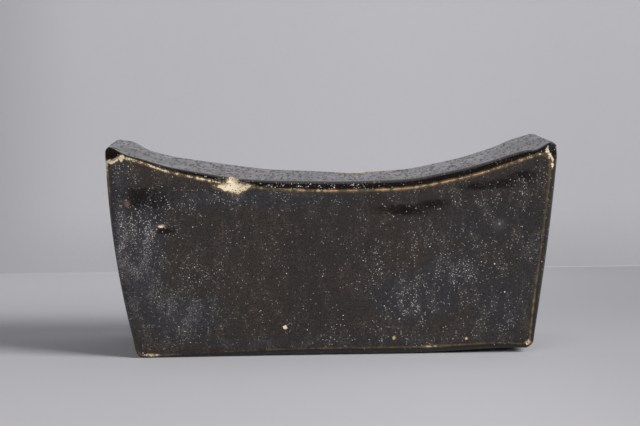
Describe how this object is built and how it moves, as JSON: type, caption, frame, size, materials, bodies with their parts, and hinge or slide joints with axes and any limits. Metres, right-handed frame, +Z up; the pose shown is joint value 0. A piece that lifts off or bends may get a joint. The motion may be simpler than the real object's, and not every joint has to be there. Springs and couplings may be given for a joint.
{
  "type": "ceramic pillow",
  "caption": "Slab-built ceramic headrest with a dark glaze: a hollow tapered box with a saddle-shaped top that cradles the neck or head, standing on a flat base.",
  "frame": {"origin": "on the table, under the middle of the body's bounding box", "axes": "+X along the length towards the right end seen from the front, +Y from the front panel to the back panel, +Z up"},
  "size_m": [0.2814, 0.11, 0.1316],
  "materials": {
    "black_glaze": "glossy brown-black iron glaze with matt hazy patches, pale specks and worn edges",
    "slip": "thin glaze over slip, brown to cream",
    "clay_body": "unglazed cream stoneware, matt"
  },
  "bodies": {
    "root": {"top_slab": "black_glaze", "base_slab": "black_glaze", "left_end_slab": "black_glaze", "right_end_slab": "black_glaze", "front_panel": "black_glaze", "back_panel": "black_glaze", "front_slip": "slip", "back_slip": "slip", "top_left_slip": "slip", "top_right_slip": "slip", "base_left_slip": "slip", "base_right_slip": "slip", "top_left_coil": "clay_body", "top_right_coil": "clay_body", "base_left_coil": "clay_body", "base_right_coil": "clay_body", "front_top_coil": "clay_body", "front_base_coil": "clay_body", "front_left_coil": "clay_body", "front_right_coil": "clay_body"}
  },
  "joints": []
}
